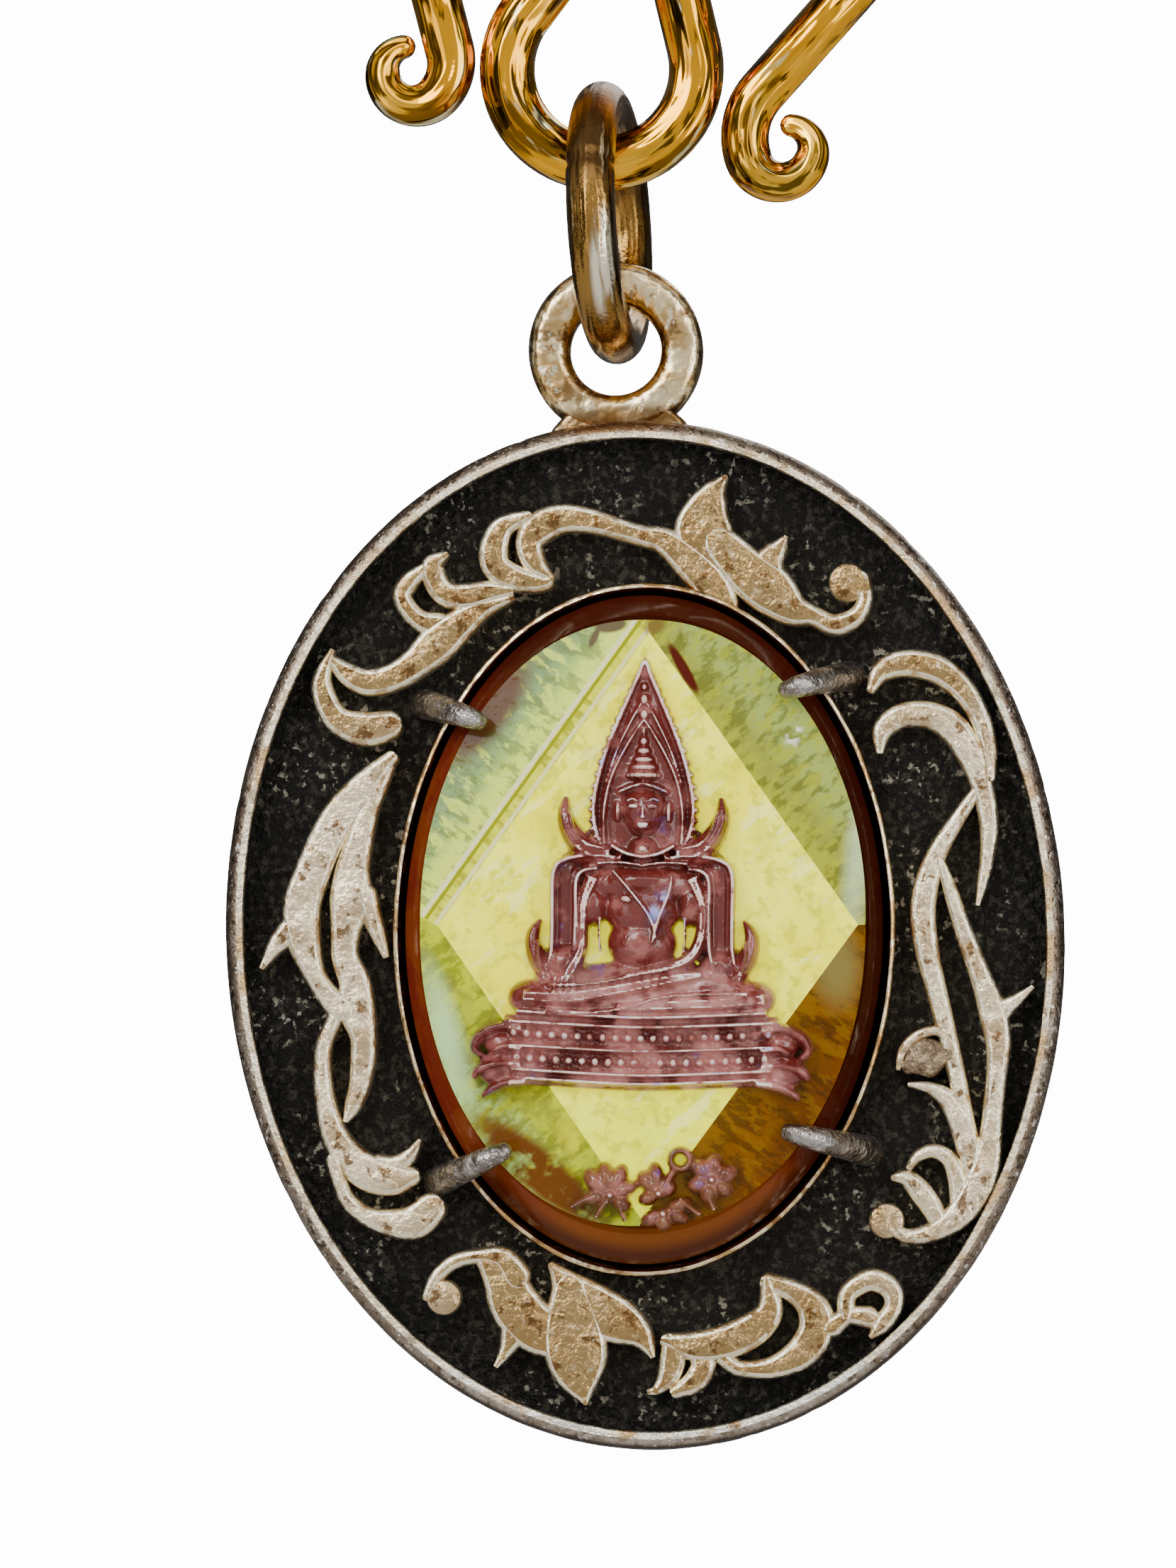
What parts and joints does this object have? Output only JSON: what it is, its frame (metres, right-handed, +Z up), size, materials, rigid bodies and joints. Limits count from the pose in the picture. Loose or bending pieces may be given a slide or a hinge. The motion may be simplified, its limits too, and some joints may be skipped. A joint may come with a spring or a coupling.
{
  "type": "thai buddha amulet pendant",
  "caption": "Oval amulet pendant with scrollwork round a moulded glass stone with a seated figure, hung by a jump ring from a bent wire neck hook.",
  "frame": {"origin": "midway between the two arches of the neck hook, where a necklace's end rings bear under them", "axes": "+Z up, +X to the right seen from the front, the front faces -Y"},
  "size_m": [0.0176, 0.006, 0.0365],
  "materials": {
    "polished_gold": "polished",
    "worn_brass": "worn, mottled",
    "frame_brass": "polished relief on a blackened ground",
    "amber_glass": "polished",
    "red_glass": "moulded"
  },
  "bodies": {
    "hook_body": {"neck_hook": "polished_gold"},
    "ring_body": {"jump_ring": "worn_brass"},
    "pendant_body": {"frame": "frame_brass", "stone": "amber_glass", "buddha_figure": "red_glass", "lotus_cluster": "red_glass"}
  },
  "joints": [
    {"name": "ring_swing", "type": "hinge", "parent": "hook_body", "child": "ring_body", "pos_m": [-0.00142, 0, -0.00748], "axis": [0.9925, -0.1219, 0], "range_deg": [-60, 60]},
    {"name": "pendant_swing", "type": "hinge", "parent": "ring_body", "child": "pendant_body", "pos_m": [-0.00142, 0, -0.01122], "axis": [0.1219, 0.9925, 0], "range_deg": [-60, 60]}
  ]
}
